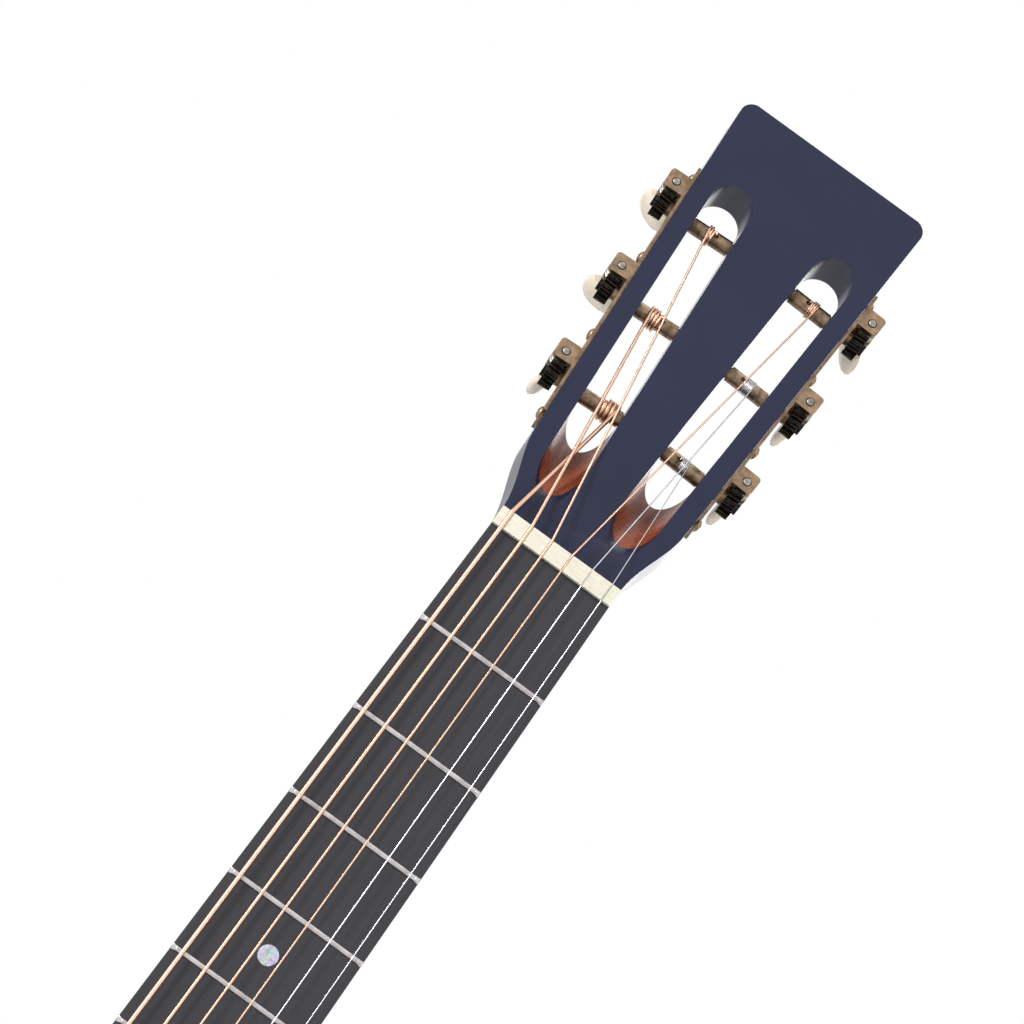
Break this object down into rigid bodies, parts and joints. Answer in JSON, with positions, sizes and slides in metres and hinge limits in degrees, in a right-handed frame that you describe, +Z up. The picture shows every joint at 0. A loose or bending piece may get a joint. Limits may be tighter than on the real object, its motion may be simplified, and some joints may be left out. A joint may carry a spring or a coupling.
{
  "type": "acoustic guitar",
  "caption": "Small-bodied steel-string guitar with a slotted headstock, side-mounted open-geared tuners, crowned fretted neck and flat hollow body.",
  "frame": {"origin": "on the crown of the fingerboard at the string edge of the nut, where a wall hanger's yoke holds the neck", "axes": "+Z up the neck towards the headstock, strings face -Y, bass side at -X"},
  "size_m": [0.36, 0.1154, 0.9932],
  "materials": {
    "navy_lacquer": "satin lacquer over mahogany",
    "navy_top": "satin lacquer over spruce",
    "dark_board": "oiled",
    "rosewood": "oiled",
    "spruce": "bare",
    "mahogany": "bare",
    "fret_metal": "polished",
    "steel": "satin",
    "plain_steel": "bright drawn",
    "bronze_wound": "wound",
    "bone": "polished",
    "pearl": "polished",
    "ivory": "polished",
    "tortoise": "polished",
    "aged_brass": "brushed and aged",
    "dark_brass": "aged",
    "black_gear": "blackened"
  },
  "bodies": {
    "guitar": {"neck": "navy_lacquer", "headplate": "navy_lacquer", "fingerboard": "dark_board", "frets": "fret_metal", "position_markers": "pearl", "side_markers": "ivory", "nut": "bone", "truss_rod": "steel", "heel_cap": "ivory", "soundboard": "navy_top", "back": "navy_lacquer", "side_bass": "navy_lacquer", "side_treble": "navy_lacquer", "linings": "spruce", "neck_block": "mahogany", "end_block": "mahogany", "top_braces": "spruce", "back_braces": "spruce", "bridge_plate": "rosewood", "top_binding": "ivory", "back_binding": "ivory", "rosette": "ivory", "pickguard": "tortoise", "bridge": "rosewood", "saddle": "bone", "bridge_pins": "ivory", "end_pin": "ivory", "tuner_plate_bass": "aged_brass", "tuner_plate_treble": "aged_brass", "tuner_screws": "aged_brass", "string_1": "plain_steel", "string_2": "plain_steel", "string_3": "bronze_wound", "string_4": "bronze_wound", "string_5": "bronze_wound", "string_6": "bronze_wound"},
    "worm_1_turning": {"worm_1": "aged_brass", "knob_1": "ivory"},
    "roller_1_turning": {"roller_1": "dark_brass", "gear_1": "black_gear"},
    "worm_2_turning": {"worm_2": "aged_brass", "knob_2": "ivory"},
    "roller_2_turning": {"roller_2": "dark_brass", "gear_2": "black_gear"},
    "worm_3_turning": {"worm_3": "aged_brass", "knob_3": "ivory"},
    "roller_3_turning": {"roller_3": "dark_brass", "gear_3": "black_gear"},
    "worm_4_turning": {"worm_4": "aged_brass", "knob_4": "ivory"},
    "roller_4_turning": {"roller_4": "dark_brass", "gear_4": "black_gear"},
    "worm_5_turning": {"worm_5": "aged_brass", "knob_5": "ivory"},
    "roller_5_turning": {"roller_5": "dark_brass", "gear_5": "black_gear"},
    "worm_6_turning": {"worm_6": "aged_brass", "knob_6": "ivory"},
    "roller_6_turning": {"roller_6": "dark_brass", "gear_6": "black_gear"}
  },
  "joints": [
    {"name": "worm_spin_1", "type": "hinge", "parent": "guitar", "child": "worm_1_turning", "pos_m": [0.03361, 0.02578, 0.06011], "axis": [0, 0.9636, -0.2672], "continuous": true},
    {"name": "roller_spin_1", "type": "hinge", "parent": "guitar", "child": "roller_1_turning", "pos_m": [0.01515, 0.02415, 0.05424], "axis": [0.9988, -0.0133, -0.0479], "continuous": true},
    {"name": "worm_spin_2", "type": "hinge", "parent": "guitar", "child": "worm_2_turning", "pos_m": [0.0354, 0.03539, 0.09476], "axis": [0, 0.9636, -0.2672], "continuous": true},
    {"name": "roller_spin_2", "type": "hinge", "parent": "guitar", "child": "roller_2_turning", "pos_m": [0.01694, 0.03376, 0.08889], "axis": [0.9988, -0.0133, -0.0479], "continuous": true},
    {"name": "worm_spin_3", "type": "hinge", "parent": "guitar", "child": "worm_3_turning", "pos_m": [0.03719, 0.045, 0.1294], "axis": [0, 0.9636, -0.2672], "continuous": true},
    {"name": "roller_spin_3", "type": "hinge", "parent": "guitar", "child": "roller_3_turning", "pos_m": [0.01873, 0.04337, 0.12353], "axis": [0.9988, -0.0133, -0.0479], "continuous": true},
    {"name": "worm_spin_4", "type": "hinge", "parent": "guitar", "child": "worm_4_turning", "pos_m": [-0.03719, 0.045, 0.1294], "axis": [0, 0.9636, -0.2672], "continuous": true},
    {"name": "roller_spin_4", "type": "hinge", "parent": "guitar", "child": "roller_4_turning", "pos_m": [-0.01873, 0.04337, 0.12353], "axis": [-0.9988, -0.0133, -0.0479], "continuous": true},
    {"name": "worm_spin_5", "type": "hinge", "parent": "guitar", "child": "worm_5_turning", "pos_m": [-0.0354, 0.03539, 0.09476], "axis": [0, 0.9636, -0.2672], "continuous": true},
    {"name": "roller_spin_5", "type": "hinge", "parent": "guitar", "child": "roller_5_turning", "pos_m": [-0.01694, 0.03376, 0.08889], "axis": [-0.9988, -0.0133, -0.0479], "continuous": true},
    {"name": "worm_spin_6", "type": "hinge", "parent": "guitar", "child": "worm_6_turning", "pos_m": [-0.03361, 0.02578, 0.06011], "axis": [0, 0.9636, -0.2672], "continuous": true},
    {"name": "roller_spin_6", "type": "hinge", "parent": "guitar", "child": "roller_6_turning", "pos_m": [-0.01515, 0.02415, 0.05424], "axis": [-0.9988, -0.0133, -0.0479], "continuous": true}
  ],
  "couplings": [
    {"joint": "roller_spin_1", "follows": "worm_spin_1", "ratio": -0.071429},
    {"joint": "roller_spin_2", "follows": "worm_spin_2", "ratio": -0.071429},
    {"joint": "roller_spin_3", "follows": "worm_spin_3", "ratio": -0.071429},
    {"joint": "roller_spin_4", "follows": "worm_spin_4", "ratio": -0.071429},
    {"joint": "roller_spin_5", "follows": "worm_spin_5", "ratio": -0.071429},
    {"joint": "roller_spin_6", "follows": "worm_spin_6", "ratio": -0.071429}
  ]
}
